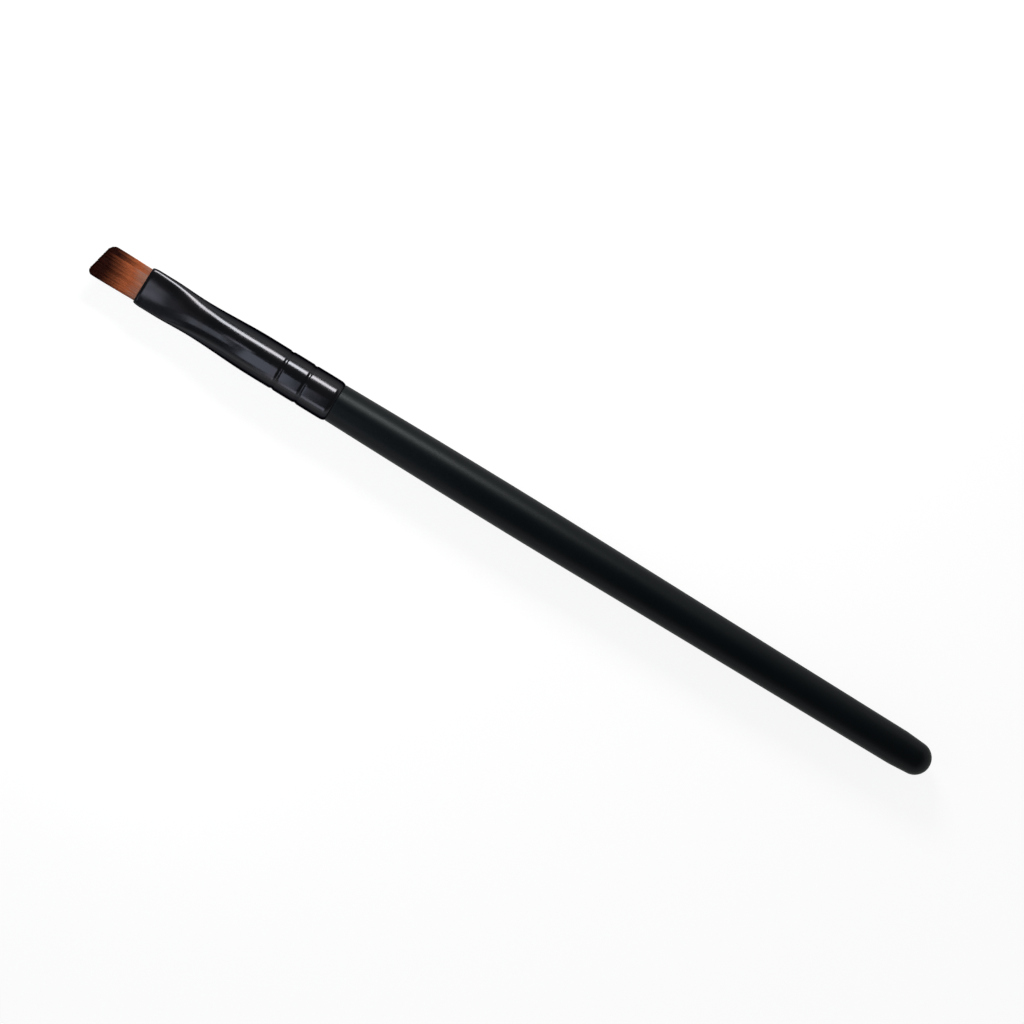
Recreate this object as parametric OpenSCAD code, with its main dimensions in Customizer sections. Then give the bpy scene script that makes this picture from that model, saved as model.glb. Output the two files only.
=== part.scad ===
// Small flat makeup brush, lying on its side along X with the bristles towards -X.
// The wide faces of the bristles and of the pressed ferrule mouth look up and down.
// Lengths are in millimetres. The origin is below the middle of the brush, on the surface it lies on.

/* [Handle] */
// Length of the handle that shows behind the ferrule
handle_len = 117.7; // [90:0.1:180]
// Step from the barrel of the ferrule down to the neck of the handle
neck_step = 0.27; // [0.1:0.01:0.33]
// Diameter that the handle gains from its neck to its belly
belly_gain = 0.48; // [0:0.02:2]
// Distance of the largest diameter behind the ferrule
belly_at = 34.5; // [20:0.5:50]
// Diameter of the handle where its tail begins to round off
tail_d = 6.3; // [6:0.05:8]
// Length of the tail that rounds off
tail_len = 6.2; // [4:0.1:9]
// Radius of the ball at the very end
tail_end_r = 2.9; // [2:0.05:3]
// Distance of the tenon's nose behind the front of the barrel
tenon_setback = 1.2; // [0.6:0.1:3]
// Chamfer at the nose of the tenon
tenon_chamfer = 0.5; // [0.1:0.05:0.8]

/* [Ferrule] */
// Length of the part that is pressed from round to flat
swage_len = 23; // [18:0.1:30]
// Length of the round barrel behind it
barrel_len = 15; // [12.5:0.1:25]
// Outer diameter of the round barrel
barrel_d = 7.5; // [7:0.02:9]
// Thickness of the drawn tube
tube_wall = 0.35; // [0.3:0.01:0.45]
// Width of the flat mouth
mouth_w = 7.1; // [6.4:0.02:7.6]
// Thickness of the flat mouth
mouth_t = 2.3; // [1.9:0.02:3.2]
// Width at the waist between the flat mouth and the round barrel
waist_w = 6.7; // [6.3:0.02:7.2]
// Distance of the waist behind the mouth
waist_at = 10.8; // [8:0.1:14]
// Length of the mouth whose width stays the same
pad_len = 4.2; // [2:0.1:6]
// Squareness of the flat mouth, where 2 is an ellipse
mouth_squareness = 2.4; // [2:0.05:3]
// Length over which the lip of the mouth is rounded
lip_len = 0.9; // [0.4:0.05:1.5]
// Depth by which the lip of the mouth is rounded
lip_depth = 0.27; // [0.1:0.01:0.28]
// Distance of the last crimp from the rear edge
crimp_from_end = 5.9; // [3:0.1:7]
// Distance between the crimps
crimp_pitch = 4.6; // [2:0.1:5.5]
// Number of crimps
crimp_count = 2; // [1:1:2]
// Width of a crimp groove
crimp_w = 0.75; // [0.4:0.05:1]
// Depth of a crimp groove
crimp_depth = 0.18; // [0.08:0.01:0.25]
// Depth by which the rear edge is turned in
rear_roll_depth = 0.27; // [0.1:0.01:0.28]
// Length over which the rear edge is turned in
rear_roll_len = 0.9; // [0.4:0.05:1.5]

/* [Bristles] */
// Length of the bristles outside the ferrule, at the middle of the cut
tuft_len = 8.75; // [6:0.05:14]
// Angle of the slanted cut
cut_angle = 13.5; // [0:0.5:25]
// Radius by which the corners of the cut are rounded
cut_corner_r = 0.9; // [0.1:0.05:1.2]
// Width that the tuft gains from the mouth to the tips, as a ratio
tuft_flare = 1.055; // [1:0.005:1.2]
// Thickness of the tuft at its tips, as a ratio of its thickness at the mouth
tip_thinning = 0.8; // [0.78:0.02:1]
// Thickness of one bristle at its root
bristle_d = 0.22; // [0.18:0.01:0.3]
// Thickness of one bristle where its point begins
bristle_tip_d = 0.17; // [0.08:0.01:0.18]
// Length of the point of one bristle
bristle_point = 0.6; // [0.3:0.1:2]
// Free space between neighbouring bristles at the root
bristle_space = 0.03; // [0.02:0.01:0.1]
// Unevenness of the cut
cut_unevenness = 0.12; // [0:0.01:0.3]
// Length of the bonded root inside the ferrule
root_len = 12; // [8:0.5:14]
// Distance of the bonded root behind the mouth
root_inset = 1; // [0.5:0.1:2]

/* [Fits] */
// Glue line between two pieces that are bonded together
glue_line = 0.05; // [0.03:0.01:0.1]
// Gap beside the tuft in the mouth, at each side
tuft_side_gap = 0.2; // [0.05:0.01:0.4]
// Gap above and below the tuft in the mouth
tuft_face_gap = 0.05; // [0.03:0.01:0.1]
// Distance of the resin behind the mouth
resin_inset = 5; // [4:0.1:8]
// Thickness of the resin beside the end of the root, where the tube is narrowest
resin_side = 0.3; // [0.2:0.05:0.4]

/* [Hidden] */
$fn = 96;

// Points round one section of the pressed tube and of what fills it
section_points = 48;
// Distance between two sections of the pressed tube
section_step = 1;
// Sections across the rounded lip
lip_steps = 4;
// Steps along the curved length of the handle
handle_steps = 36;
// The pressed tube ends inside the wall of the barrel, this deep and this far under its skin
seam_lap = 0.4;
seam_inset = 0.02;
// How late the tube opens from flat to round
opening_bias = 1.15;
// How the handle swells to its belly and how soon its taper runs straight
belly_power = 2;
taper_power = 6;
// Depth of the foot of a bristle inside the bonded root, and the height of that foot
bristle_seat = 0.4;
bristle_foot = 0.2;
// Sides of one bristle and the size of its blunt end
bristle_sides = 8;
bristle_end_d = 0.02;
// Share by which the middle of a bristle may lie outside the oval that holds them
edge_slack = 0.01;
// Turn between the uneven lengths of one bristle and the next
uneven_turn = 137.5;

barrel_r = barrel_d / 2;
bore_r = barrel_r - tube_wall;
neck_d = barrel_d - 2 * neck_step;
belly_d = neck_d + belly_gain;
ferrule_len = swage_len + barrel_len;
handle_end = ferrule_len + handle_len;
tenon_nose = swage_len + tenon_setback;

// A smooth step from 0 to 1, level at both ends
function ease(u) = let (v = min(1, max(0, u))) v * v * (3 - 2 * v);
function mix(a, b, u) = a + (b - a) * u;

// Half width of the pressed tube at a distance behind the mouth, over its outer skin
function skin_half_w(s) =
    s < waist_at
    ? mix(mouth_w, waist_w, ease((s - pad_len) / (waist_at - pad_len))) / 2
    : mix(waist_w, barrel_d, ease((s - waist_at) / (swage_len - waist_at))) / 2;
// Half thickness there
function skin_half_t(s) = mix(mouth_t, barrel_d, ease(pow(max(0, s) / swage_len, opening_bias))) / 2;
// Squareness there
function squareness(s) = mix(mouth_squareness, 2, ease(s / swage_len));
// Depth of the rounded lip at a distance behind the mouth
function lip_drop(s) =
    s < lip_len ? lip_depth * (1 - sqrt(1 - pow(1 - s / lip_len, 2))) : 0;

// One point of a rounded oval, from its half thickness, half width, squareness and angle
function oval_point(half_t, half_w, n, a) = [
    half_t * sign(cos(a)) * pow(abs(cos(a)), 2 / n),
    half_w * sign(sin(a)) * pow(abs(sin(a)), 2 / n)
];
// A ring of such points at a distance behind the mouth
function ring(half_t, half_w, n, s) = [
    for (i = [0 : section_points - 1])
    let (p = oval_point(half_t, half_w, n, 360 * i / section_points))
    [p.x, p.y, s]
];
// The pressed tube's own section, at a depth under its outer skin
function tube_ring(s, depth) = ring(skin_half_t(s) - depth, skin_half_w(s) - depth, squareness(s), s);

// Stations along the pressed tube, from just behind the lip to the barrel
function stations(from, to) =
    let (n = ceil((to - from) / section_step))
    [for (i = [0 : n]) mix(from, to, i / n)];

function reversed(v) = [for (i = [len(v) - 1 : -1 : 0]) v[i]];

// Bands of faces from each ring to the next. A closed run joins its last ring to its first.
function bands(rings, closed) = [
    for (k = [0 : rings - (closed ? 1 : 2)], i = [0 : section_points - 1])
    let (a = k * section_points, b = ((k + 1) % rings) * section_points, j = (i + 1) % section_points)
    each [[a + i, b + j, a + j], [a + i, b + i, b + j]]
];
module skin_over(rings, closed) {
    last = (len(rings) - 1) * section_points;
    caps = closed ? [] : [
        [for (i = [0 : section_points - 1]) i],
        [for (i = [section_points - 1 : -1 : 0]) last + i]
    ];
    polyhedron([for (r = rings) each r], concat(bands(len(rings), closed), caps), convexity = 4);
}

// Lays what is made round the Z axis, with the mouth at 0 and the tail above it, along X on the surface
module lay_down() translate([-middle, 0, max(barrel_d, belly_d) / 2]) rotate([0, 90, 0]) children();

// Half outline of a ring groove and of the bead that it raises inside the tube
crimp_round_r = (pow(crimp_w / 2, 2) + pow(crimp_depth, 2)) / (2 * crimp_depth);
crimp_centre_r = barrel_r + crimp_round_r - crimp_depth;
crimps = [for (i = [0 : crimp_count - 1]) ferrule_len - crimp_from_end - i * crimp_pitch];
module crimp_outline(depth) {
    for (s = crimps) translate([crimp_centre_r, s]) circle(crimp_round_r + depth);
}

// Radius of the arc that turns the rear edge in
rear_roll_r = (pow(rear_roll_len, 2) + pow(rear_roll_depth, 2)) / (2 * rear_roll_depth);

// The round barrel: a tube with pressed-in rings and a turned-in rear edge
module barrel() {
    rotate_extrude() difference() {
        intersection() {
            union() {
                translate([bore_r, swage_len]) square([tube_wall, barrel_len]);
                crimp_outline(tube_wall);
            }
            translate([0, swage_len]) square([barrel_r, barrel_len]);
            union() {
                square([barrel_r, ferrule_len - rear_roll_len]);
                square([barrel_r - rear_roll_depth, ferrule_len]);
                translate([barrel_r - rear_roll_r, ferrule_len - rear_roll_len]) circle(rear_roll_r);
            }
        }
        crimp_outline(0);
    }
}

// The tube from its flat mouth to the barrel, pressed smoothly from an oval to a circle
module swaged_tube() {
    lip = [for (i = [0 : lip_steps - 1]) lip_len * pow(i / lip_steps, 2)];
    run = [for (s = stations(lip_len, swage_len)) if (s < swage_len) s];
    end = swage_len + seam_lap;
    outside = concat(
        [for (s = lip) tube_ring(s, lip_drop(s))],
        [for (s = run) tube_ring(s, 0)],
        [ring(barrel_r - seam_inset, barrel_r - seam_inset, 2, end)]
    );
    inside = concat(
        [ring(bore_r + seam_inset, bore_r + seam_inset, 2, end)],
        [for (s = reversed(run)) tube_ring(s, tube_wall)],
        [tube_ring(0, tube_wall)]
    );
    skin_over(concat(outside, inside), true);
}

// Outline of the tuft where it passes the mouth, from the mouth's own inner size
tuft_half_w = skin_half_w(0) - tube_wall - tuft_side_gap;
tuft_half_t = skin_half_t(0) - tube_wall - tuft_face_gap;
// The bonded root gathers towards its rear end to pass the waist, and its section keeps its area
root_end_half_w = min(tuft_half_w, waist_w / 2 - tube_wall - 2 * glue_line - resin_side);
root_end_half_t = tuft_half_t * tuft_half_w / root_end_half_w;
root_end = root_inset + root_len;
tuft_reach = max([for (b = bristles_at()) b[3]]) + bristle_point;
// Middle of the brush, measured from the mouth
middle = (handle_end - tuft_reach) / 2;

// Section of the bonded root at a distance behind the mouth, or of the pocket that clears it
function root_ring(s, clearance) =
    let (u = (s - root_inset) / root_len)
    ring(
        mix(tuft_half_t, root_end_half_t, u) + clearance,
        mix(tuft_half_w, root_end_half_w, u) + clearance,
        mouth_squareness, s
    );

// Length of the bristles over the width of the tuft: a slanted line with rounded corners
function cut_at(y) =
    let (over = max(0, abs(y) - (tuft_half_w - cut_corner_r)))
    tuft_len - y * tan(cut_angle) - cut_corner_r + sqrt(pow(cut_corner_r, 2) - pow(min(over, cut_corner_r), 2));

// Every bristle as thickness place, width place, number and length to where its point begins
function bristles_at() =
    let (
        pitch = bristle_d + bristle_space,
        row_gap = pitch * sqrt(3) / 2,
        room_t = tuft_half_t - bristle_d / 2,
        room_w = tuft_half_w - bristle_d / 2,
        rows = floor(room_t / row_gap),
        columns = floor(room_w / pitch),
        column_gap = room_w / columns
    )
    [
        for (row = [-rows : rows], column = [-columns : columns])
        let (
            x = row * row_gap,
            y = (column + (row % 2 == 0 ? 0 : 0.5)) * column_gap,
            number = row * (2 * columns + 1) + column,
            inside = pow(abs(x) / room_t, mouth_squareness) + pow(abs(y) / room_w, mouth_squareness)
        )
        if (inside <= 1 + edge_slack)
        [x, y, number, cut_at(y) - bristle_point - cut_unevenness * pow(sin(number * uneven_turn), 2)]
    ];

// One tapered bristle with a pointed end, from a seat in the root to its place in the fanned tip
module bristle(x, y, reach) {
    from = [x, y, root_inset + bristle_seat];
    to = [x * tip_thinning, y * tuft_flare, -reach];
    hull() {
        translate(from) cylinder(h = bristle_foot, d = bristle_d, $fn = bristle_sides);
        translate(to) mirror([0, 0, 1])
            cylinder(h = bristle_point, d1 = bristle_tip_d, d2 = bristle_end_d, $fn = bristle_sides);
    }
}

// Radius of the handle at a distance behind the ferrule: a belly, then a long taper
function handle_r(d) =
    d < belly_at
    ? mix(belly_d, neck_d, pow(1 - d / belly_at, belly_power)) / 2
    : let (u = (d - belly_at) / (handle_len - tail_len - belly_at))
      mix(belly_d, tail_d, u * (1 - pow(1 - u, taper_power))) / 2;

// Half outline of the handle, from the nose of its tenon to the ball at its tail
module handle_outline() {
    tenon_r = bore_r - glue_line;
    shoulder = ferrule_len + glue_line;
    body_len = handle_len - tail_len;
    ball_at = handle_end - tail_end_r;
    tail_slope = atan2(tail_d / 2 - tail_end_r, tail_len - tail_end_r);
    difference() {
        polygon([
            [0, tenon_nose],
            [tenon_r - tenon_chamfer, tenon_nose],
            [tenon_r, tenon_nose + tenon_chamfer],
            [tenon_r, shoulder],
            for (i = [0 : handle_steps])
            let (d = mix(glue_line, body_len, i / handle_steps)) [handle_r(d), ferrule_len + d],
            [tail_end_r * cos(tail_slope), ball_at + tail_end_r * sin(tail_slope)],
            [0, ball_at]
        ]);
        crimp_outline(tube_wall + glue_line);
    }
    intersection() {
        translate([0, ball_at]) circle(tail_end_r);
        translate([0, ball_at]) square([tail_end_r, tail_end_r]);
    }
}

// Turned wooden handle in black lacquer, one piece with the tenon that the ferrule is crimped on
module handle() color("#16191b") lay_down() rotate_extrude() handle_outline();

// Black anodised tube: a round barrel at the rear, pressed flat at the mouth
module ferrule() color("#202326") lay_down() {
    barrel();
    swaged_tube();
}

// The tuft: its bonded root and every bristle, flat, slightly fanned and cut at a slant
module bristles() color("#8a4526") lay_down() {
    skin_over([root_ring(root_inset, 0), root_ring(root_end, 0)], false);
    for (b = bristles_at()) bristle(b[0], b[1], b[3]);
}

// Cured resin that fills the tube between the tuft's root and the tenon, with a pocket round the root
module glue_plug() color("#c8b27a") lay_down() {
    rear = tenon_nose - glue_line;
    body = stations(resin_inset, swage_len);
    skin_over(concat(
        [root_ring(root_end + glue_line, glue_line)],
        [root_ring(resin_inset, glue_line)],
        [for (s = body) tube_ring(s, tube_wall + glue_line)],
        [ring(bore_r - glue_line, bore_r - glue_line, 2, rear)]
    ), false);
}

handle();
ferrule();
bristles();
glue_plug();
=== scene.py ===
"""The looks of a small flat makeup brush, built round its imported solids.

Lengths are in metres. X runs from the bristles to the end of the handle, Z is up, and the wide
faces of the tuft look up and down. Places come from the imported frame, and every new shape is a
surface worked out on a grid of two parameters.
"""

import math
from typing import NamedTuple

import bpy
import numpy as np
from bpy.props import FloatProperty, FloatVectorProperty, IntProperty, PointerProperty
from mathutils import Matrix, Vector


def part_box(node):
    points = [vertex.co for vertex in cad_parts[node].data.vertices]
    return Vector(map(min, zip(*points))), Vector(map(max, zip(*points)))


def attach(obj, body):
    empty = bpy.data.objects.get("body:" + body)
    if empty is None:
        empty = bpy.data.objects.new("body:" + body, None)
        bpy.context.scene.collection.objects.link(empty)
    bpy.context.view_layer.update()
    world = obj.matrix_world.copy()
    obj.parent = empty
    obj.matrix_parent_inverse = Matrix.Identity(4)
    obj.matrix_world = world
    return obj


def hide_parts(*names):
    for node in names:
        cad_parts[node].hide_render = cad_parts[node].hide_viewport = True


bl_info = {
    "name": "Flat makeup brush",
    "version": (1, 0, 0),
    "blender": (4, 5, 0),
    "location": "View3D > Sidebar > Brush",
    "description": "Builds a lacquered handle, a pressed ferrule and a slanted tuft on the packed solids",
    "category": "Add Mesh",
}

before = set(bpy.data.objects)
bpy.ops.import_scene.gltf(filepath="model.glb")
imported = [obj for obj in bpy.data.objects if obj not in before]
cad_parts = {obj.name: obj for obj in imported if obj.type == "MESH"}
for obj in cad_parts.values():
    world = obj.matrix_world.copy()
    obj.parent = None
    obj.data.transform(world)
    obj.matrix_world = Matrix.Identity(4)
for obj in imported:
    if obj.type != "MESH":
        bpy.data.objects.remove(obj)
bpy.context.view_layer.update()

MM = 0.001
HANDLE_LOW, HANDLE_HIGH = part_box("handle")
FERRULE_LOW, FERRULE_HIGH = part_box("ferrule")
BRISTLES_LOW, BRISTLES_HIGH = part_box("bristles")

# Where things are along X, and the height of the common axis
MOUTH_X = FERRULE_LOW.x
FERRULE_END_X = FERRULE_HIGH.x
FERRULE_LEN = FERRULE_END_X - MOUTH_X
HANDLE_END_X = HANDLE_HIGH.x
TENON_X = HANDLE_LOW.x
AXIS_Z = (FERRULE_LOW.z + FERRULE_HIGH.z) / 2
BARREL_R = (FERRULE_HIGH.z - FERRULE_LOW.z) / 2
BELLY_R = (HANDLE_HIGH.z - HANDLE_LOW.z) / 2
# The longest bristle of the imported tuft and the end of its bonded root, measured from the mouth
TUFT_REACH = MOUTH_X - BRISTLES_LOW.x
ROOT_REACH = BRISTLES_HIGH.x - MOUTH_X

FULL_TURN = 2 * math.pi
QUARTER_TURN = math.pi / 2
# Squareness at which a rounded oval is an ellipse
ELLIPSE = 2.0


# Settings

def length(name, description, default, low=0.0, high=1.0):
    """A length property in metres."""
    return FloatProperty(
        name=name, description=description, default=default, min=low, max=high,
        unit="LENGTH", subtype="DISTANCE", precision=5,
    )


def share(name, description, default, low=0.0, high=1.0):
    """A plain number, such as a roughness or a ratio."""
    return FloatProperty(name=name, description=description, default=default, min=low, max=high)


def count(name, description, default, low, high):
    """A whole number."""
    return IntProperty(name=name, description=description, default=default, min=low, max=high)


def angle(name, description, degrees):
    """An angle, given in degrees."""
    return FloatProperty(
        name=name, description=description, default=math.radians(degrees),
        subtype="ANGLE", unit="ROTATION",
    )


def power(name, description, default):
    """The power of a lamp in watts."""
    return FloatProperty(name=name, description=description, default=default, min=0, unit="POWER")


def colour(name, description, default):
    """A linear colour with its alpha."""
    return FloatVectorProperty(
        name=name, description=description, default=(*default, 1.0), min=0.0, max=1.0,
        size=4, subtype="COLOR",
    )


class HandleSettings(bpy.types.PropertyGroup):
    """Sizes and finish of the lacquered handle."""

    neck_step: length("Neck step", "Step from the barrel down to the neck", 0.27 * MM)
    belly_at: length("Belly", "Distance of the largest diameter behind the ferrule", 34.5 * MM)
    tail_d: length("Tail diameter", "Diameter where the tail begins to round off", 6.3 * MM)
    tail_len: length("Tail length", "Length of the tail that rounds off", 6.2 * MM)
    tail_end_r: length("Tail end", "Radius of the ball at the very end", 2.9 * MM)
    tenon_r: length("Tenon", "Radius of the tenon inside the ferrule", 3.35 * MM)
    tenon_chamfer: length("Tenon chamfer", "Chamfer at the nose of the tenon", 0.5 * MM)
    shoulder_r: length("Shoulder", "Radius by which lacquer rounds the shoulder", 0.12 * MM)
    glue_line: length("Glue line", "Gap between the shoulder and the ferrule", 0.05 * MM)
    lacquer: colour("Lacquer", "Colour of the lacquer", (0.0001, 0.0013, 0.0023))
    lacquer_worn: colour("Worn lacquer", "Colour of the lacquer where it is rubbed", (0.0010, 0.0024, 0.0034))
    sheen: colour("Sheen", "Tint of the light that the lacquer reflects", (0.90, 0.98, 1.0))
    roughness: share("Roughness", "Roughness of the satin lacquer", 0.42)


class FerruleSettings(bpy.types.PropertyGroup):
    """Sizes and finish of the pressed tube."""

    swage_len: length("Pressed length", "Length of the part pressed from round to flat", 23 * MM)
    tube_wall: length("Wall", "Thickness of the drawn tube", 0.35 * MM)
    mouth_w: length("Mouth width", "Width of the flat mouth", 7.1 * MM)
    mouth_t: length("Mouth thickness", "Thickness of the flat mouth", 2.3 * MM)
    waist_w: length("Waist width", "Width at the waist behind the mouth", 6.7 * MM)
    waist_at: length("Waist", "Distance of the waist behind the mouth", 10.8 * MM)
    pad_len: length("Pad", "Length of the mouth whose width stays the same", 4.2 * MM)
    squareness: share("Squareness", "Squareness of the mouth, where 2 is an ellipse", 3.6, 2, 4)
    bore_squareness: share("Bore squareness", "Least squareness of the bore at the mouth", 2.4, 2, 4)
    opening_bias: share("Opening", "How late the tube opens from flat to round", 1.15, 1, 2)
    lip_len: length("Lip length", "Length over which the lip's faces are rounded", 0.6 * MM)
    lip_depth: length("Lip depth", "Depth by which the lip's faces are rounded", 0.22 * MM)
    lip_side_len: length("Lip side length", "Length over which the lip's sides are rounded", 1.3 * MM)
    lip_side_depth: length("Lip side depth", "Depth by which the lip's sides are rounded", 0.30 * MM)
    crimp_from_end: length("Last crimp", "Distance of the last crimp from the rear edge", 5.9 * MM)
    crimp_pitch: length("Crimp pitch", "Distance between the crimps", 4.6 * MM)
    crimp_count: count("Crimps", "Number of crimps", 2, 1, 2)
    crimp_w: length("Crimp width", "Width of a crimp groove", 0.95 * MM)
    crimp_depth: length("Crimp depth", "Depth of a crimp groove", 0.12 * MM)
    crown: length("Crown", "How far the barrel falls from its middle to each crimp", 0.02 * MM)
    roll_len: length("Turned-in length", "Length over which the rear edge is turned in", 0.9 * MM)
    roll_depth: length("Turned-in depth", "Depth by which the rear edge is turned in", 0.27 * MM)
    metal: colour("Metal", "Colour of the black anodised tube", (0.035, 0.036, 0.040))
    metal_worn: colour("Rubbed metal", "Colour where the finish is rubbed", (0.042, 0.040, 0.043))
    edge_tint: colour("Edge tint", "How much of its gloss the finish keeps at its edges", (0.25, 0.25, 0.27))
    roughness: share("Roughness", "Roughness of the glossy tube", 0.17)


class TuftSettings(bpy.types.PropertyGroup):
    """Sizes and colours of the tuft."""

    side_gap: length("Side gap", "Gap beside the tuft in the mouth", 0.12 * MM)
    face_gap: length("Face gap", "Gap above and below the tuft in the mouth", 0.05 * MM)
    squareness: share("Squareness", "Squareness of the bundle, where 2 is an ellipse", 3, 2, 4)
    tuft_len: length("Length", "Length outside the ferrule at the middle of the cut", 8.75 * MM)
    cut_angle: angle("Cut", "Angle of the slanted cut", 13.5)
    corner_r: length("Corner", "Radius of the corners of the cut", 1.2 * MM)
    unevenness: length("Unevenness", "Most by which a filament falls short of the cut", 0.14 * MM)
    flare: share("Flare", "Width gained from the mouth to the tips, as a ratio", 1.04, 1, 1.3)
    thinning: share("Thinning", "Thickness left at the tips, as a ratio", 0.8)
    filament_d: length("Filament", "Thickness of a filament at its root", 0.078 * MM, 0.01 * MM)
    filament_pitch: length("Filament pitch", "Distance between neighbours", 0.066 * MM, 0.03 * MM)
    inside_len: length("Inside length", "Length of a filament's straight run inside the mouth", 1.6 * MM)
    root_gather: share("Root gather", "Width left at the end of the bonded root, as a ratio", 0.76)
    lock_count: count("Locks", "Locks over the width of the tuft", 11, 5, 40)
    lock_pull: share("Lock pull", "How far the tips gather to their lock", 0.22)
    seed: count("Seed", "Seed of the uneven filaments", 7, 0, 1000)
    # The root colour is paler than the middle: a painted highlight of light on the filaments at the mouth
    root: colour("Root", "Colour near the ferrule", (0.335, 0.195, 0.145))
    middle: colour("Middle", "Colour of the middle of the tuft", (0.403, 0.107, 0.039))
    dyed: colour("Dyed", "Colour where the dark tips begin", (0.178, 0.045, 0.0165))
    tip: colour("Tip", "Colour of the dark tips", (0.023, 0.0032, 0.0012))


class ResinSettings(bpy.types.PropertyGroup):
    """Finish of the resin inside the ferrule."""

    clear: colour("Clear resin", "Colour of the resin where it is clear", (0.56, 0.40, 0.16))
    clouded: colour("Clouded resin", "Colour of the resin where it is clouded", (0.72, 0.60, 0.34))


class StageSettings(bpy.types.PropertyGroup):
    """Floor, lamps and camera."""

    floor_r: length("Floor", "Radius of the floor", 4.0, 0.5, 20)
    floor_grey: share("Floor colour", "How pale the floor is under the lamps", 0.20)
    floor_glow: share("Floor glow", "Light of its own that the camera sees", 0.88)
    floor_mirrored: share("Floor mirrored", "Share of that light that reflections see", 0.5)
    backdrop: colour("Backdrop", "Light from low down, all round", (1.0, 1.0, 1.0))
    ceiling: colour("Ceiling", "Light from straight above", (0.15, 0.155, 0.165))
    turn: angle("Turn", "Turn of the brush in the picture", 31.51)
    lens: FloatProperty(name="Lens", description="Focal length in millimetres", default=200, min=20, max=400)
    frame_w: length("Frame", "Width that the picture takes in", 172.97 * MM)
    aside: length("Camera aside", "How far right of the middle the camera stands", -0.152 * MM, -1)
    above: length("Camera above", "How far towards the picture's top the camera stands", -0.084 * MM, -1)
    key_power: power("Key", "Power of the strip lamp beside the brush", 0.30)
    fill_power: power("Fill", "Power of the cool lamp on the other side", 0.0132)
    low_power: power("Low fill", "Power of the low lamp on the other side", 0.0032)
    card_power: power("Card", "Power of the lit card above the ferrule", 0.0023)
    screen_power: power("Screen", "Power of the cool screen in front of the brush", 0.0290)


class BrushSettings(bpy.types.PropertyGroup):
    """Everything that a user would change, piece by piece."""

    handle: PointerProperty(type=HandleSettings)
    ferrule: PointerProperty(type=FerruleSettings)
    tuft: PointerProperty(type=TuftSettings)
    resin: PointerProperty(type=ResinSettings)
    stage: PointerProperty(type=StageSettings)


# Curves and angles shared by the pieces

def mix(a, b, u):
    """Straight blend from a to b as u goes from 0 to 1."""
    return a + (b - a) * u


def ease(u):
    """Smooth step, 3 v squared less 2 v cubed with v held from 0 to 1: level at both ends."""
    v = np.clip(u, 0.0, 1.0)
    return v * v * (3 - 2 * v)


def stations(*runs):
    """Places along a line from runs of (start, end, steps). Each run leaves its end to the next."""
    parts = [np.linspace(a, b, number, endpoint=False) for a, b, number in runs]
    return np.concatenate([*parts, [runs[-1][1]]])


def round_angles(number):
    """Angles evenly spaced round a full turn, the first of them 0."""
    return np.arange(number) * FULL_TURN / number


def crimp_centres(ferrule):
    """Distances of the crimps behind the mouth, the front one first."""
    last = FERRULE_LEN - ferrule.crimp_from_end
    return last - ferrule.crimp_pitch * np.arange(ferrule.crimp_count)[::-1]


def crimp_drop(ferrule, s):
    """Depth of the grooves at distances s: a raised cosine over the width of each crimp."""
    away = np.abs(s[:, None] - crimp_centres(ferrule)) / (ferrule.crimp_w / 2)
    return (ferrule.crimp_depth * (0.5 + 0.5 * np.cos(math.pi * np.clip(away, 0, 1)))).sum(axis=1)


# Meshes from grids

def grid_faces(rows, columns, closed_rows=False):
    """Quads of a grid whose columns close on themselves; its rows close too where that is asked.

    A quad faces the way of the cross product of the step to the next row and that to the next column.
    """
    last = rows if closed_rows else rows - 1
    i, j = np.meshgrid(np.arange(last), np.arange(columns), indexing="ij")
    below, beside = (i + 1) % rows, (j + 1) % columns
    corners = [i * columns + j, below * columns + j, below * columns + beside, i * columns + beside]
    return np.stack(corners, axis=-1).reshape(-1, 4)


def make_mesh(name, points, quads, triangles=None):
    """A smooth mesh object at the origin, from points, quads and, where given, triangles."""
    triangles = np.zeros((0, 3), int) if triangles is None else triangles
    loops = np.concatenate([quads.ravel(), triangles.ravel()]).astype(np.int32)
    sizes = np.concatenate([np.full(len(quads), 4), np.full(len(triangles), 3)])
    starts = np.concatenate([[0], np.cumsum(sizes)[:-1]]).astype(np.int32)
    mesh = bpy.data.meshes.new(name)
    mesh.vertices.add(len(points))
    mesh.vertices.foreach_set("co", np.ascontiguousarray(points, np.float32).ravel())
    mesh.loops.add(len(loops))
    mesh.loops.foreach_set("vertex_index", loops)
    mesh.polygons.add(len(sizes))
    mesh.polygons.foreach_set("loop_start", starts)
    mesh.polygons.foreach_set("use_smooth", np.ones(len(sizes), bool))
    mesh.update(calc_edges=True)
    mesh.validate()
    piece = bpy.data.objects.new(name, mesh)
    bpy.context.scene.collection.objects.link(piece)
    return piece


def add_attribute(piece, name, values):
    """Stores one number for each point of the mesh under a name that a material reads."""
    layer = piece.data.attributes.new(name, "FLOAT", "POINT")
    layer.data.foreach_set("value", np.ascontiguousarray(values, np.float32).ravel())


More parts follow.
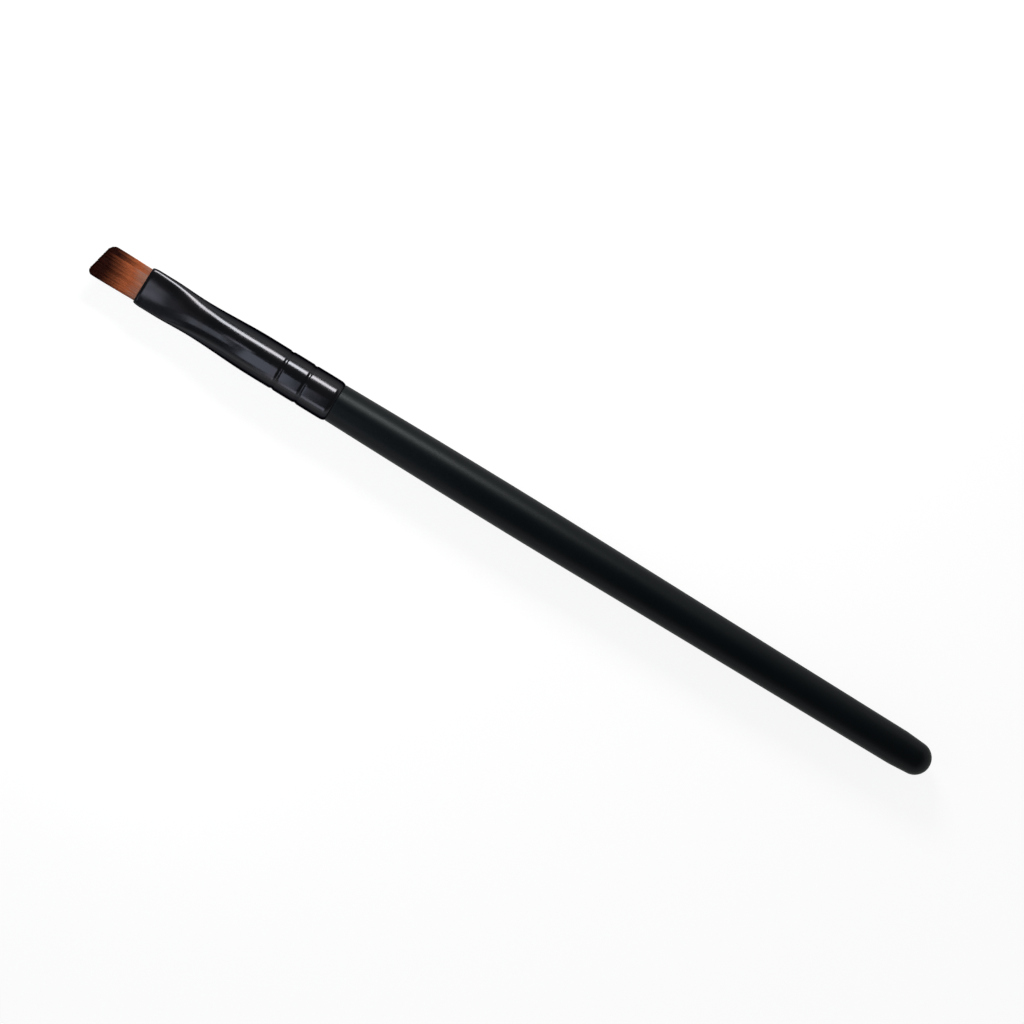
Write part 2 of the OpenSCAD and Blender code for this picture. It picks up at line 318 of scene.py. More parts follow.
def revolve(name, x, radii, columns):
    """Surface of revolution about the brush's axis, closed by a pole at each end.

    A point is (x, radius times the sine, axis height plus radius times the cosine) of its angle.
    """
    turn = round_angles(columns)
    y = radii[:, None] * np.sin(turn)
    z = AXIS_Z + radii[:, None] * np.cos(turn)
    rings = np.stack([np.repeat(x[:, None], columns, axis=1), y, z], axis=-1).reshape(-1, 3)
    poles = np.array([[x[0], 0, AXIS_Z], [x[-1], 0, AXIS_Z]])
    j = np.arange(columns)
    beside = (j + 1) % columns
    last_ring = (len(x) - 1) * columns
    front = np.stack([np.full(columns, len(rings)), j, beside], axis=-1)
    back = np.stack([np.full(columns, len(rings) + 1), last_ring + beside, last_ring + j], axis=-1)
    quads = grid_faces(len(x), columns)
    return make_mesh(name, np.concatenate([rings, poles]), quads, np.concatenate([front, back]))


# Materials

class Shader:
    """A material's node tree with short calls for the nodes that the finishes need."""

    def __init__(self, name):
        """Makes a new material with a principled surface."""
        self.material = bpy.data.materials.new(name)
        self.material.use_nodes = True
        self.tree = self.material.node_tree
        self.surface = self.tree.nodes["Principled BSDF"]
        self.coordinates = self.tree.nodes.new("ShaderNodeTexCoord")

    def put(self, socket, value):
        """Links an output to a socket, or writes a number or colour on it."""
        if isinstance(value, bpy.types.NodeSocket):
            self.tree.links.new(value, socket)
        else:
            socket.default_value = value

    def finish(self, **values):
        """Sets the sockets of the surface, whose names are given with _ for a space."""
        for name, value in values.items():
            self.put(self.surface.inputs[name.replace("_", " ")], value)

    def noise(self, size, stretch=(1, 1, 1), detail=3.0):
        """Soft noise on object coordinates, with grains of a size that is stretched along X, Y and Z."""
        mapping = self.tree.nodes.new("ShaderNodeMapping")
        mapping.inputs["Scale"].default_value = [1 / s for s in stretch]
        self.put(mapping.inputs["Vector"], self.coordinates.outputs["Object"])
        node = self.tree.nodes.new("ShaderNodeTexNoise")
        node.inputs["Scale"].default_value = 1 / size
        node.inputs["Detail"].default_value = detail
        self.put(node.inputs["Vector"], mapping.outputs["Vector"])
        return node.outputs["Fac"]

    def wander(self, noise, middle):
        """A roughness that follows noise from a little below its middle to a little above it."""
        below, above = 0.02, 0.03
        return self.remap(noise, low=0.3, high=0.7, to_low=middle - below, to_high=middle + above)

    def remap(self, value, low, high, to_low=0.0, to_high=1.0):
        """Carries the span from low to high over to another one."""
        node = self.tree.nodes.new("ShaderNodeMapRange")
        ends = {"From Min": low, "From Max": high, "To Min": to_low, "To Max": to_high}
        for name, number in ends.items():
            node.inputs[name].default_value = number
        self.put(node.inputs["Value"], value)
        return node.outputs["Result"]

    def blend(self, factor, first, second, mode="MIX"):
        """Blends two colours. Each of the three values is a number, a colour or an output."""
        node = self.tree.nodes.new("ShaderNodeMix")
        node.data_type = "RGBA"
        node.blend_type = mode
        sockets = {s.identifier: s for s in node.inputs}
        for key, value in (("Factor_Float", factor), ("A_Color", first), ("B_Color", second)):
            self.put(sockets[key], value)
        return next(s for s in node.outputs if s.identifier == "Result_Color")

    def math(self, operation, first, second):
        """One step of arithmetic on two numbers or outputs."""
        node = self.tree.nodes.new("ShaderNodeMath")
        node.operation = operation
        self.put(node.inputs[0], first)
        self.put(node.inputs[1], second)
        return node.outputs["Value"]

    def attribute(self, name):
        """A number that the mesh holds for each point."""
        node = self.tree.nodes.new("ShaderNodeAttribute")
        node.attribute_name = name
        return node.outputs["Fac"]

    def ramp(self, value, stops):
        """Colour ramp through stops of (place, colour)."""
        node = self.tree.nodes.new("ShaderNodeValToRGB")
        elements = node.color_ramp.elements
        while len(elements) < len(stops):
            elements.new(1.0)
        for element, (place, tint) in zip(elements, stops):
            element.position = place
            element.color = tint
        self.put(node.inputs["Fac"], value)
        return node.outputs["Color"]

    def bump(self, height, distance, below=None):
        """Bump of a height in metres, laid over another bump where one is given."""
        node = self.tree.nodes.new("ShaderNodeBump")
        node.inputs["Distance"].default_value = distance
        self.put(node.inputs["Height"], height)
        if below is not None:
            self.put(node.inputs["Normal"], below)
        return node.outputs["Normal"]


def lacquer_material(handle):
    """Satin black lacquer on turned wood: cool black, soft sheen, faint grain and orange peel."""
    paint = Shader("black_lacquer")
    patches = paint.noise(size=6 * MM, stretch=(3, 1, 1), detail=4)
    grain = paint.noise(size=0.7 * MM, stretch=(25, 1, 1), detail=2)
    peel = paint.noise(size=1.1 * MM, detail=2)
    worn = paint.remap(patches, low=0.35, high=0.75)
    paint.finish(
        Base_Color=paint.blend(worn, handle.lacquer, handle.lacquer_worn),
        Roughness=paint.wander(patches, handle.roughness),
        Normal=paint.bump(peel, distance=0.003 * MM, below=paint.bump(grain, distance=0.005 * MM)),
        Specular_IOR_Level=0.17,
        Specular_Tint=handle.sheen,
    )
    return paint.material


def metal_material(ferrule):
    """Glossy black finish on a drawn tube: sharp reflections, with faint smudges and pressing marks."""
    metal = Shader("black_anodised")
    smudge = metal.noise(size=4.5 * MM)
    hairline = metal.noise(size=1.1 * MM, stretch=(0.11, 1.7, 1.7), detail=2)
    ripple = metal.noise(size=2.4 * MM, stretch=(1.5, 1, 1), detail=1)
    scratches = metal.bump(hairline, distance=0.0004 * MM)
    rubbed = metal.remap(smudge, low=0.4, high=0.8)
    metal.finish(
        Base_Color=metal.blend(rubbed, ferrule.metal, ferrule.metal_worn),
        Metallic=1.0,
        Specular_Tint=ferrule.edge_tint,
        Roughness=metal.wander(smudge, ferrule.roughness),
        Normal=metal.bump(ripple, distance=0.025 * MM, below=scratches),
    )
    return metal.material


def filament_material(tuft):
    """Synthetic filament: reddish brown, dipped dark at the tips, each one a little different, and paler near
    the ferrule as a painted highlight.

    The places of the ramp are shares of the way from the ferrule to the tip of the longest bristle.
    """
    hair = Shader("brown_filament")
    stops = [
        # The first stop, paler than the middle, is a painted highlight near the ferrule
        (0.0, tuft.root),
        (0.22, tuft.middle),
        (0.32, tuft.middle),
        (0.50, tuft.dyed),
        (0.72, tuft.tip),
    ]
    dyed = hair.ramp(hair.attribute("dye"), stops)
    hair.finish(
        Base_Color=hair.blend(1.0, dyed, hair.attribute("tone"), mode="MULTIPLY"),
        Roughness=0.5,
        Specular_IOR_Level=0.05,
    )
    return hair.material


def resin_material(resin):
    """Cured amber resin, clear in places and clouded in others."""
    glue = Shader("amber_resin")
    cloud = glue.noise(size=2.5 * MM, detail=4)
    clouding = glue.remap(cloud, low=0.35, high=0.65)
    glue.finish(
        Base_Color=glue.blend(clouding, resin.clear, resin.clouded),
        Normal=glue.bump(cloud, distance=0.02 * MM),
        Roughness=0.22,
        Coat_Weight=0.3,
    )
    return glue.material


def floor_material(stage):
    """White surface that keeps the object's shadow.

    Rays from the camera and refracted rays get enough of its own light to read as plain white, and
    reflections get a share of that light.
    """
    paper = Shader("white_floor")
    rays = paper.tree.nodes.new("ShaderNodeLightPath")
    mirrored = paper.math("MULTIPLY", rays.outputs["Is Glossy Ray"], stage.floor_mirrored)
    seen = paper.math("MAXIMUM", rays.outputs["Is Camera Ray"], rays.outputs["Is Transmission Ray"])
    seen = paper.math("MAXIMUM", seen, mirrored)
    grey = stage.floor_grey
    paper.finish(
        Base_Color=(grey, grey, grey, 1),
        Roughness=1.0,
        Specular_IOR_Level=0.0,
        Emission_Color=(1, 1, 1, 1),
        Emission_Strength=paper.math("MULTIPLY", seen, stage.floor_glow),
    )
    return paper.material


# Pieces

class BrushOperator(bpy.types.Operator):
    """What the operators share."""

    bl_options = {"REGISTER", "UNDO"}

    @property
    def settings(self):
        """The scene's settings for the whole brush."""
        return bpy.context.scene.makeup_brush


def finish_piece(piece, material, node):
    """Gives a piece its material and body, and has it stand for its node."""
    piece.data.materials.append(material)
    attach(piece, "root")
    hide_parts(node)


class BRUSH_OT_handle(BrushOperator):
    """Turn the lacquered handle with its tenon."""

    bl_idname = "brush.handle"
    bl_label = "Lacquered handle"

    COLUMNS = 128
    GROOVE_RINGS = 13
    SHOULDER_RINGS = 8
    NECK_STEPS, SWELL_STEPS, FALL_STEPS = 6, 40, 90
    RUN_RINGS, BALL_RINGS = 8, 27

    def tenon(self, handle, ferrule):
        """The chamfered nose and the grooves that the crimps press into the tenon."""
        nose = TENON_X - FERRULE_END_X
        groove = np.linspace(-0.5, 0.5, self.GROOVE_RINGS) * ferrule.crimp_w
        grooves = (crimp_centres(ferrule)[:, None] + groove).ravel() - FERRULE_LEN
        d = np.concatenate([[nose, nose + handle.tenon_chamfer], grooves, [handle.glue_line]])
        r = handle.tenon_r - crimp_drop(ferrule, d + FERRULE_LEN)
        r[0] -= handle.tenon_chamfer
        return d, r

    def shoulder(self, handle, body_r):
        """A quarter circle of lacquer from the face of the shoulder to the skin of the neck."""
        swing = np.linspace(0, QUARTER_TURN, self.SHOULDER_RINGS)[:-1]
        d = handle.glue_line + handle.shoulder_r * (1 - np.cos(swing))
        return d, body_r - handle.shoulder_r * (1 - np.sin(swing))

    def body(self, handle):
        """Distances behind the ferrule and radii from the neck to where the tail begins.

        The radius swells from the neck as one less the square of the share of the way left to the
        belly. Behind the belly, with u the share of the way on to the tail, it falls by u times one
        less the sixth power of one less u.
        """
        neck_end = 2 * MM
        fall_power = 6
        body_len = HANDLE_END_X - FERRULE_END_X - handle.tail_len
        d = stations(
            (handle.glue_line + handle.shoulder_r, neck_end, self.NECK_STEPS),
            (neck_end, handle.belly_at, self.SWELL_STEPS),
            (handle.belly_at, body_len, self.FALL_STEPS),
        )
        neck_r = BARREL_R - handle.neck_step
        to_belly = np.clip(1 - d / handle.belly_at, 0, 1)
        u = np.clip((d - handle.belly_at) / (body_len - handle.belly_at), 0, 1)
        fall = (handle.tail_d / 2 - BELLY_R) * u * (1 - (1 - u) ** fall_power)
        return d, mix(BELLY_R, neck_r, to_belly ** 2) + fall

    def tail(self, handle, from_d, from_r):
        """A straight run onto a ball whose arc starts where the run touches it, and ends at the pole."""
        ball_at = HANDLE_END_X - FERRULE_END_X - handle.tail_end_r
        slope = math.atan2(handle.tail_d / 2 - handle.tail_end_r, handle.tail_len - handle.tail_end_r)
        swing = np.linspace(slope, QUARTER_TURN, self.BALL_RINGS)[:-1]
        ball_d = ball_at + handle.tail_end_r * np.sin(swing)
        ball_r = handle.tail_end_r * np.cos(swing)
        run = np.linspace(0, 1, self.RUN_RINGS)[1:-1]
        d = np.concatenate([mix(from_d, ball_d[0], run), ball_d])
        return d, np.concatenate([mix(from_r, ball_r[0], run), ball_r])

    def execute(self, context):
        """Joins the parts, from the nose of the tenon to a small last ring, and revolves them."""
        handle, ferrule = self.settings.handle, self.settings.ferrule
        body_d, body_r = self.body(handle)
        parts = [
            self.tenon(handle, ferrule),
            self.shoulder(handle, body_r[0]),
            (body_d, body_r),
            self.tail(handle, body_d[-1], body_r[-1]),
        ]
        last_ring_r = 0.02 * MM
        x = np.append(FERRULE_END_X + np.concatenate([d for d, _ in parts]), HANDLE_END_X)
        radii = np.append(np.concatenate([r for _, r in parts]), last_ring_r)
        piece = revolve("lacquered_handle", x, radii, self.COLUMNS)
        finish_piece(piece, lacquer_material(handle), "handle")
        return {"FINISHED"}


class BRUSH_OT_ferrule(BrushOperator):
    """Draw the tube: round behind with its crimps and turned-in edge, pressed flat at the mouth."""

    bl_idname = "brush.ferrule"
    bl_label = "Pressed ferrule"

    COLUMNS = 160
    LIP_RINGS = 15
    # Steps along the skin and along the bore
    PRESSED_STEPS, BARREL_STEPS, ROLL_STEPS = 70, 130, 9
    BORE_BARREL_STEPS, BORE_PRESSED_STEPS = 80, 40

    def section(self, ferrule, s):
        """Half thickness, half width and squareness of the outer skin at distances behind the mouth.

        The width is level over the pad, and then a smooth step takes it to the waist and another on
        to the barrel. The thickness takes one smooth step over the pressed length, of the share of
        the way raised to the opening bias. The squareness steps smoothly to an ellipse at the waist.
        """
        closing = ease((s - ferrule.pad_len) / (ferrule.waist_at - ferrule.pad_len))
        opening = ease((s - ferrule.waist_at) / (ferrule.swage_len - ferrule.waist_at))
        half_w = mix(mix(ferrule.mouth_w, ferrule.waist_w, closing) / 2, BARREL_R, opening)
        rise = ease((np.maximum(s, 0) / ferrule.swage_len) ** ferrule.opening_bias)
        half_t = mix(ferrule.mouth_t / 2, BARREL_R, rise)
        squareness = mix(ferrule.squareness, ELLIPSE, ease(s / ferrule.waist_at))
        return half_t, half_w, squareness

    def lip_drop(self, s, lip_len, lip_depth):
        """How far the skin falls towards the mouth: a quarter ellipse."""
        to_lip = np.clip(1 - s / lip_len, 0, 1)
        return lip_depth * (1 - np.sqrt(1 - to_lip ** 2))

    def roll_drop(self, ferrule, s):
        """How far the skin falls towards the rear edge, which is turned in: an arc of a circle."""
        arc_r = (ferrule.roll_len ** 2 + ferrule.roll_depth ** 2) / (2 * ferrule.roll_depth)
        past = np.clip(s - (FERRULE_LEN - ferrule.roll_len), 0, ferrule.roll_len)
        return arc_r - np.sqrt(arc_r ** 2 - past ** 2)

    def crown_drop(self, ferrule, s):
        """How far each stretch of the barrel falls towards its ends: the crown times a square.

        The square is that of the share of the way from the middle of the stretch to its end. In
        the first stretch, which joins the pressed part smoothly, it counts from the start.
        """
        ends = np.array([ferrule.swage_len, *crimp_centres(ferrule), FERRULE_LEN])
        stretch = np.clip(np.searchsorted(ends, s) - 1, 0, len(ends) - 2)
        u = np.clip((s - ends[stretch]) / (ends[stretch + 1] - ends[stretch]), 0, 1)
        away = np.where(stretch == 0, u, 2 * u - 1)
        return ferrule.crown * away ** 2

    def rings(self, ferrule, s, depth, side_depth, least_squareness):
        """Rounded ovals at stations s, sunk by a depth that differs between the faces and the sides.

        Each coordinate is a half size times the cosine or sine of the angle, raised to 2 over the
        squareness and keeping its sign. The squareness is that of the section, or the least one
        given, where that is more.
        """
        half_t, half_w, squareness = self.section(ferrule, s)
        squareness = np.maximum(squareness, least_squareness)
        turn = round_angles(self.COLUMNS)
        across, up = np.sin(turn)[None, :], np.cos(turn)[None, :]
        shape = 2 / squareness[:, None]
        y = (half_w - side_depth)[:, None] * np.sign(across) * np.abs(across) ** shape
        z = (half_t - depth)[:, None] * np.sign(up) * np.abs(up) ** shape
        x = np.repeat(MOUTH_X + s[:, None], self.COLUMNS, axis=1)
        return np.stack([x, y, AXIS_Z + z], axis=-1)

    def execute(self, context):
        """Lays rings from the lip back along the skin and forward again along the bore."""
        ferrule = self.settings.ferrule
        roll_at = FERRULE_LEN - ferrule.roll_len
        lip = ferrule.lip_side_len * np.linspace(0, 1, self.LIP_RINGS)[:-1] ** 2
        body = stations(
            (ferrule.lip_side_len, ferrule.swage_len, self.PRESSED_STEPS),
            (ferrule.swage_len, roll_at, self.BARREL_STEPS),
            (roll_at, FERRULE_LEN, self.ROLL_STEPS),
        )
        outer = np.concatenate([lip, body])
        inner = stations(
            (FERRULE_LEN, ferrule.swage_len, self.BORE_BARREL_STEPS),
            (ferrule.swage_len, 0, self.BORE_PRESSED_STEPS),
        )
        drop = self.roll_drop(ferrule, outer) + self.crown_drop(ferrule, outer) + crimp_drop(ferrule, outer)
        face_drop = drop + self.lip_drop(outer, ferrule.lip_len, ferrule.lip_depth)
        side_drop = drop + self.lip_drop(outer, ferrule.lip_side_len, ferrule.lip_side_depth)
        wall = ferrule.tube_wall + crimp_drop(ferrule, inner)
        # From the waist back the bore stays squarer than the skin, which leaves room for the resin
        bore = mix(ferrule.bore_squareness, ELLIPSE, ease(inner / ferrule.swage_len))
        grid = np.concatenate([
            self.rings(ferrule, outer, face_drop, side_drop, ELLIPSE),
            self.rings(ferrule, inner, wall, wall, bore),
        ])
        faces = grid_faces(len(grid), self.COLUMNS, closed_rows=True)
        piece = make_mesh("pressed_ferrule", grid.reshape(-1, 3), faces)
        finish_piece(piece, metal_material(ferrule), "ferrule")
        return {"FINISHED"}


class Filaments(NamedTuple):
    """Places, locks and lengths of the filaments, with one entry of each array for each of them."""

    y: np.ndarray
    z: np.ndarray
    lock: np.ndarray
    reach: np.ndarray


class BRUSH_OT_tuft(BrushOperator):
    """Set the flat tuft of tapered filaments, gathered in locks and cut at a slant."""

    bl_idname = "brush.tuft"
    bl_label = "Slanted tuft"

    # Rings of a filament in front of the bonded root, as shares of its length there
    RINGS = np.array([0, 0.30, 0.55, 0.75, 0.88, 0.96, 1.0])
    # Thickness at the end of the root and then at those rings, as a share of the filament's own
    TAPER = np.array([1, 1, 1, 1, 0.96, 0.88, 0.72, 0.25])
    SIDES = 5
    # Most by which a filament moves on its lattice, as a share of the pitch
    JITTER = 0.2
    # Most by which a border between locks moves, as a share of a lock's width
    LOCK_JITTER = 0.18
    # How far a border between locks leans aside for each step up
    BORDER_LEAN = 0.25
    # Most by which the tip of a lock leans aside or rises, and spread of the filaments' own bows
    TIP_SHIFT = 0.05 * MM
    BOW = 0.018 * MM
    # Share of the pull that also draws in the thickness
    THICKNESS_PULL = 0.25

    def lattice(self, tuft, half_w, half_t, chance):
        """Places on a triangular lattice, each moved by chance, that lie inside a rounded oval.

        A place lies inside where its shares of the half width and of the half thickness, each
        raised to the squareness, add up to no more than 1.
        """
        pitch = tuft.filament_pitch
        row_gap = pitch * math.sqrt(3) / 2
        jitter = self.JITTER * pitch
        rows = np.arange(-math.floor(half_t / row_gap), math.floor(half_t / row_gap) + 1)
        columns = np.arange(-math.ceil(half_w / pitch), math.ceil(half_w / pitch) + 1)
        row, column = (a.ravel() for a in np.meshgrid(rows, columns, indexing="ij"))
        y = (column + 0.5 * (row % 2)) * pitch + chance.uniform(-jitter, jitter, row.size)
        z = row * row_gap + chance.uniform(-jitter, jitter, row.size)
        room_w, room_t = half_w - tuft.filament_d / 2, half_t - tuft.filament_d / 2
        kept = (np.abs(y) / room_w) ** tuft.squareness + (np.abs(z) / room_t) ** tuft.squareness <= 1
        return y[kept], z[kept]

    def reach(self, tuft, y, half_w, chance):
        """Lengths outside the mouth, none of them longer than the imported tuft.

        They follow a slanted line, less a round at each corner of the cut and a chance shortfall.
        """
        over = np.clip(np.abs(y) - (half_w - tuft.corner_r), 0, tuft.corner_r)
        corner = tuft.corner_r - np.sqrt(tuft.corner_r ** 2 - over ** 2)
        line = np.minimum(tuft.tuft_len - y * math.tan(tuft.cut_angle) - corner, TUFT_REACH)
        return line - chance.uniform(0, tuft.unevenness, y.size)

    def lock_edges(self, tuft, half_w, chance):
        """Edges of the locks over the width: evenly spaced, each moved by chance."""
        edges = np.linspace(-half_w, half_w, tuft.lock_count + 1)
        spread = self.LOCK_JITTER * (edges[1] - edges[0])
        edges[1:-1] += chance.uniform(-spread, spread, tuft.lock_count - 1)
        return edges

    def paths(self, tuft, filaments, edges, chance):
        """The middle line of every filament, ring by ring.

        With u from 0 at the mouth to 1 at the tip, the width place moves to the middle of its lock
        by the pull times u squared, and is then fanned by the flare times one less the square of
        one less u. The thickness place is drawn in, each lock's tip is moved by chance, and half a
        sine wave bows the filament. The closer a filament is to the side of the tuft, by the fourth
        power, the less it moves aside. One more ring, at the end of the bonded root, has its width
        place drawn in to pass the waist.
        """
        y, z, lock, reach = filaments
        x = mix(-tuft.inside_len, reach[:, None], self.RINGS)
        u = np.maximum(x, 0) / reach[:, None]
        middle = ((edges[lock] + edges[lock + 1]) / 2)[:, None]
        lean, rise = chance.uniform(-self.TIP_SHIFT, self.TIP_SHIFT, (2, tuft.lock_count))[:, lock, None]
        bow = chance.normal(0, self.BOW, (2, y.size, 1)) * np.sin(math.pi * u)
        loose = 1 - (y[:, None] / edges[-1]) ** 4
        pull = tuft.lock_pull * u ** 2
        path_y = mix(y[:, None], middle, pull * loose) * mix(1, tuft.flare, 1 - (1 - u) ** 2)
        path_y += (lean * u + bow[0]) * loose
        path_z = z[:, None] * mix(1, tuft.thinning, u) * (1 - self.THICKNESS_PULL * pull)
        path_z += rise * u + bow[1]
        root_x = np.full((y.size, 1), -ROOT_REACH)
        root_y = tuft.root_gather * y[:, None]
        return np.hstack([root_x, x]), np.hstack([root_y, path_y]), np.hstack([z[:, None], path_z])

    def tubes(self, tuft, x, y, z, chance):
        """A tube round each middle line, closed by a flat fan at each end.

        A corner is the middle line plus the radius times the cosine and sine of its angle.
        """
        sides, rings = self.SIDES, len(self.TAPER)
        size = (tuft.filament_d / 2 * self.TAPER)[None, :, None]
        swing = chance.uniform(0, FULL_TURN, (len(x), 1, 1)) + round_angles(sides)
        points = np.stack([
            np.repeat(MOUTH_X - x[..., None], sides, axis=2),
            y[..., None] + size * np.cos(swing),
            AXIS_Z + z[..., None] + size * np.sin(swing),
        ], axis=-1)
        corner = np.arange(1, sides - 1)
        fan = np.stack([np.zeros(sides - 2, int), corner, corner + 1], axis=-1)
        caps = np.concatenate([fan, (rings - 1) * sides + fan[:, ::-1]])
        offsets = np.arange(len(x))[:, None, None] * rings * sides
        quads = (grid_faces(rings, sides) + offsets).reshape(-1, 4)
        return make_mesh("filament_tuft", points.reshape(-1, 3), quads, (caps + offsets).reshape(-1, 3))

    def colour(self, piece, tuft, filaments, x, chance):
        """How far along the dye each point is, from 0 at the ferrule to 1 at the tips, and its tone.

        The dye reaches further back on one lock near the shorter side, and less far beside it.
        """
        dark_lock, dark_shift = -2, 0.09
        light_locks, light_shift = [-4, -3], -0.08
        # Spread from lock to lock, and from filament to filament within a lock
        lock_dye_spread, own_dye_spread = 0.025, 0.035
        lock_tone_spread, own_tone_spread = 0.04, 0.09
        darkest, lightest = 0.6, 1.4
        lock_dye = chance.normal(0, lock_dye_spread, tuft.lock_count)
        lock_dye[dark_lock] += dark_shift
        lock_dye[light_locks] += light_shift
        lock_tone = chance.normal(0, lock_tone_spread, tuft.lock_count)
        number = filaments.y.size
        own_dye = lock_dye[filaments.lock] + chance.normal(0, own_dye_spread, number)
        own_tone = lock_tone[filaments.lock] + chance.normal(0, own_tone_spread, number)
        dye = np.clip(x / TUFT_REACH + own_dye[:, None], 0, 1)
        tone = np.clip(1 + own_tone, darkest, lightest)
        corners = np.ones((1, len(self.TAPER), self.SIDES))
        add_attribute(piece, "dye", dye[..., None] * corners)
        add_attribute(piece, "tone", tone[:, None, None] * corners)

    def execute(self, context):
        """Places the filaments in the mouth, shapes and colours them, and makes them one piece."""
        tuft, ferrule = self.settings.tuft, self.settings.ferrule
        chance = np.random.default_rng(tuft.seed)
        half_w = ferrule.mouth_w / 2 - ferrule.tube_wall - tuft.side_gap
        half_t = ferrule.mouth_t / 2 - ferrule.tube_wall - tuft.face_gap
        y, z = self.lattice(tuft, half_w, half_t, chance)
        edges = self.lock_edges(tuft, half_w, chance)
        # The borders between locks lean, so that they show at different places on the two faces
        lock = np.clip(np.searchsorted(edges, y + self.BORDER_LEAN * z) - 1, 0, tuft.lock_count - 1)
        filaments = Filaments(y, z, lock, self.reach(tuft, y, half_w, chance))
        x, path_y, path_z = self.paths(tuft, filaments, edges, chance)
        piece = self.tubes(tuft, x, path_y, path_z, chance)
        self.colour(piece, tuft, filaments, x, chance)
        finish_piece(piece, filament_material(tuft), "bristles")
        return {"FINISHED"}


class BRUSH_OT_resin(BrushOperator):
    """Finish the cured resin inside the ferrule."""

    bl_idname = "brush.resin"
    bl_label = "Cured resin"

    def execute(self, context):
        """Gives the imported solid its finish. Its shape stays as it is."""
        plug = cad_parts["glue_plug"]
        plug.data.materials.clear()
        plug.data.materials.append(resin_material(self.settings.resin))
        return {"FINISHED"}


# Stage

class Lamp(NamedTuple):
    """A soft rectangular lamp that faces the brush's axis, with its long side along X."""

    name: str
    # From and to along X
    span: tuple
    # Degrees from straight above towards +Y
    tilt: float
    # Distance from the axis
    distance: float
    # Size across X
    width: float
    tint: tuple
    # Degrees by which it is turned about the direction that it faces
    turn: float = 0


KEY_STRIP = Lamp(
    name="key_strip", span=(-125 * MM, -18 * MM), tilt=54, distance=170 * MM, width=44 * MM,
    tint=(1.0, 0.985, 0.96),
)
COOL_FILL = Lamp(
    name="cool_fill", span=(-72 * MM, -45 * MM), tilt=-33, distance=80 * MM, width=75 * MM,
    tint=(0.82, 0.86, 1.0),
)
LOW_FILL = Lamp(
    name="low_fill", span=(-50 * MM, -30 * MM), tilt=-66, distance=80 * MM, width=20 * MM,
    tint=(0.90, 0.90, 1.0),
)
LIT_CARD = Lamp(
    name="lit_card", span=(-86 * MM, -62 * MM), tilt=-2, distance=80 * MM, width=11 * MM,
    tint=(0.88, 0.90, 1.0),
)
COOL_SCREEN = Lamp(
    name="cool_screen", span=(-192 * MM, -165 * MM), tilt=-21, distance=300 * MM, width=130 * MM,
    tint=(0.85, 0.90, 1.0), turn=9.6,
)


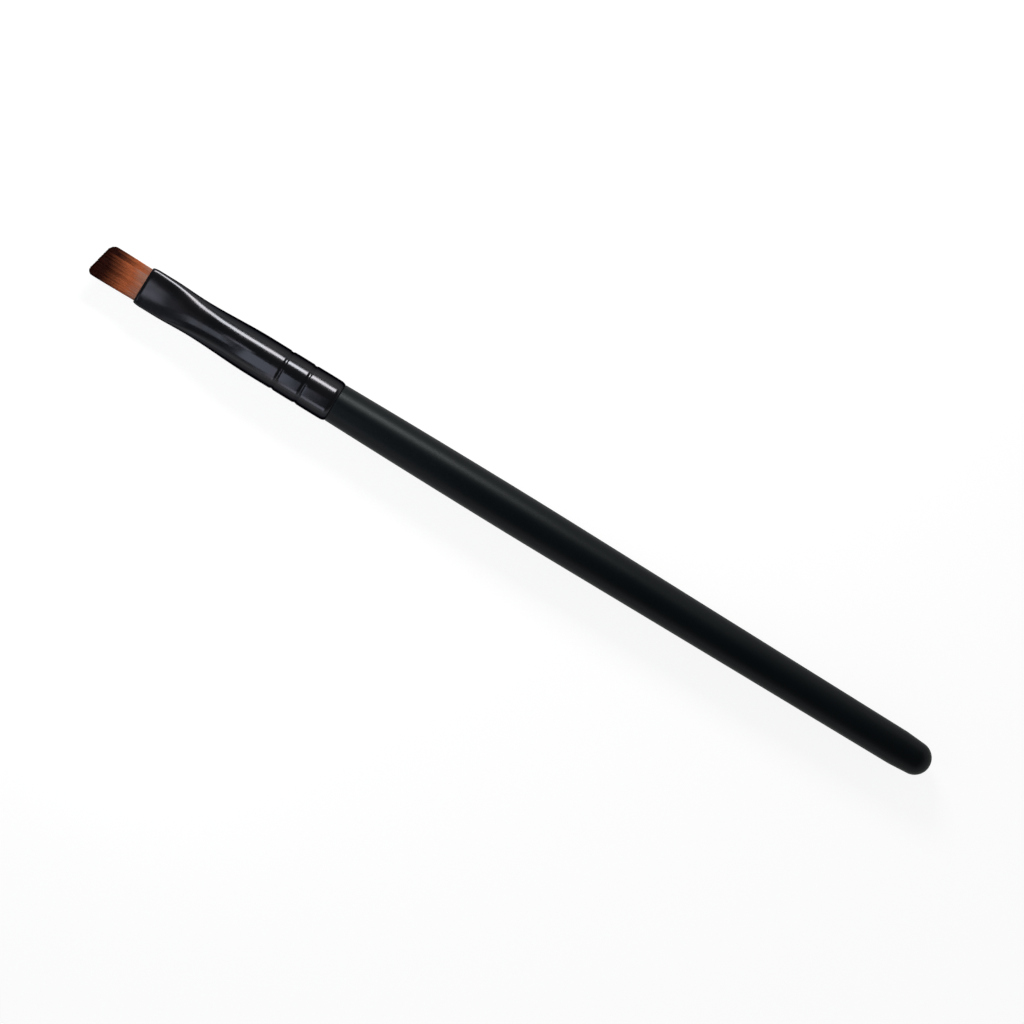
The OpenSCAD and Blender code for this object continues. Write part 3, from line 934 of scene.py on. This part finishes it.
class BRUSH_OT_stage(BrushOperator):
    """Lay the floor and set the lamps and the camera."""

    bl_idname = "brush.stage"
    bl_label = "Floor, lamps and camera"

    def floor(self, stage):
        """A disc: points on circles whose radius grows by a fixed ratio from the middle."""
        columns, circles, first_share = 96, 10, 0.02
        radii = stage.floor_r * np.geomspace(first_share, 1, circles)
        turn = round_angles(columns)
        flat = np.zeros((len(radii), columns))
        rings = np.stack([np.outer(radii, np.cos(turn)), np.outer(radii, np.sin(turn)), flat], axis=-1)
        points = np.concatenate([rings.reshape(-1, 3), [[0, 0, 0]]])
        j = np.arange(columns)
        hub = np.stack([np.full(columns, len(points) - 1), j, (j + 1) % columns], axis=-1)
        piece = make_mesh("floor", points, grid_faces(len(radii), columns), hub)
        piece.data.materials.append(floor_material(stage))

    def lamp(self, lamp, watts):
        """Places a lamp. Its local X lies along the brush, and its local Z points away from the axis."""
        light = bpy.data.lights.new(lamp.name, "AREA")
        light.shape = "RECTANGLE"
        light.size, light.size_y = lamp.span[1] - lamp.span[0], lamp.width
        light.energy = watts
        light.color = lamp.tint
        piece = bpy.data.objects.new(lamp.name, light)
        bpy.context.scene.collection.objects.link(piece)
        piece.visible_camera = False
        tilt = math.radians(lamp.tilt)
        along = Vector((1, 0, 0))
        back = Vector((0, math.sin(tilt), math.cos(tilt)))
        place = Vector((sum(lamp.span) / 2, 0, AXIS_Z)) + lamp.distance * back
        facing = Matrix((along, back.cross(along), back)).transposed().to_4x4()
        turn = Matrix.Rotation(math.radians(lamp.turn), 4, "Z")
        piece.matrix_world = Matrix.Translation(place) @ facing @ turn

    def world(self, stage):
        """A pale sweep: the backdrop's light at the horizon, falling to that of a dim ceiling.

        The fall runs over the height of the direction looked in, from 0 at the horizon to 1.
        """
        fall_from, fall_to = 0.08, 0.5
        world = bpy.data.worlds.new("studio")
        bpy.context.scene.world = world
        world.use_nodes = True
        tree = world.node_tree
        place = tree.nodes.new("ShaderNodeTexCoord")
        split = tree.nodes.new("ShaderNodeSeparateXYZ")
        ramp = tree.nodes.new("ShaderNodeValToRGB")
        tree.links.new(place.outputs["Generated"], split.inputs["Vector"])
        tree.links.new(split.outputs["Z"], ramp.inputs["Fac"])
        tree.links.new(ramp.outputs["Color"], tree.nodes["Background"].inputs["Color"])
        low, high = ramp.color_ramp.elements
        low.position, low.color = fall_from, stage.backdrop
        high.position, high.color = fall_to, stage.ceiling

    def camera(self, stage):
        """A long lens straight above, turned so that the brush slants down to the right."""
        sensor_w, far = 36.0, 50
        data = bpy.data.cameras.new("photo_camera")
        data.lens = stage.lens
        data.sensor_width = sensor_w
        data.clip_end = far
        camera = bpy.data.objects.new("photo_camera", data)
        bpy.context.scene.collection.objects.link(camera)
        distance = stage.frame_w * stage.lens / sensor_w
        right = Vector((math.cos(stage.turn), math.sin(stage.turn), 0))
        up = Vector((-math.sin(stage.turn), math.cos(stage.turn), 0))
        camera.location = stage.aside * right + stage.above * up + Vector((0, 0, AXIS_Z + distance))
        camera.rotation_euler = (0, 0, stage.turn)
        bpy.context.scene.camera = camera

    def execute(self, context):
        """Sets up everything round the brush, and the view transform."""
        stage = self.settings.stage
        self.floor(stage)
        self.world(stage)
        self.lamp(KEY_STRIP, stage.key_power)
        self.lamp(COOL_FILL, stage.fill_power)
        self.lamp(LOW_FILL, stage.low_power)
        self.lamp(LIT_CARD, stage.card_power)
        self.lamp(COOL_SCREEN, stage.screen_power)
        self.camera(stage)
        bpy.context.scene.view_settings.view_transform = "Standard"
        return {"FINISHED"}


class BRUSH_PT_panel(bpy.types.Panel):
    """Sidebar panel with one button for each piece."""

    bl_label = "Flat makeup brush"
    bl_idname = "BRUSH_PT_panel"
    bl_space_type = "VIEW_3D"
    bl_region_type = "UI"
    bl_category = "Brush"

    def draw(self, context):
        """Lists the operators."""
        for operator in OPERATORS:
            self.layout.operator(operator.bl_idname)


SETTINGS = (HandleSettings, FerruleSettings, TuftSettings, ResinSettings, StageSettings, BrushSettings)
OPERATORS = (BRUSH_OT_handle, BRUSH_OT_ferrule, BRUSH_OT_tuft, BRUSH_OT_resin, BRUSH_OT_stage)


def register():
    """Registers the settings, the operators and the panel."""
    for one in (*SETTINGS, *OPERATORS, BRUSH_PT_panel):
        bpy.utils.register_class(one)
    bpy.types.Scene.makeup_brush = PointerProperty(type=BrushSettings)


def unregister():
    """Takes back what register added."""
    del bpy.types.Scene.makeup_brush
    for one in reversed((*SETTINGS, *OPERATORS, BRUSH_PT_panel)):
        bpy.utils.unregister_class(one)


def main():
    register()
    bpy.ops.brush.handle()
    bpy.ops.brush.ferrule()
    bpy.ops.brush.tuft()
    bpy.ops.brush.resin()
    bpy.ops.brush.stage()


if __name__ == "__main__":
    main()
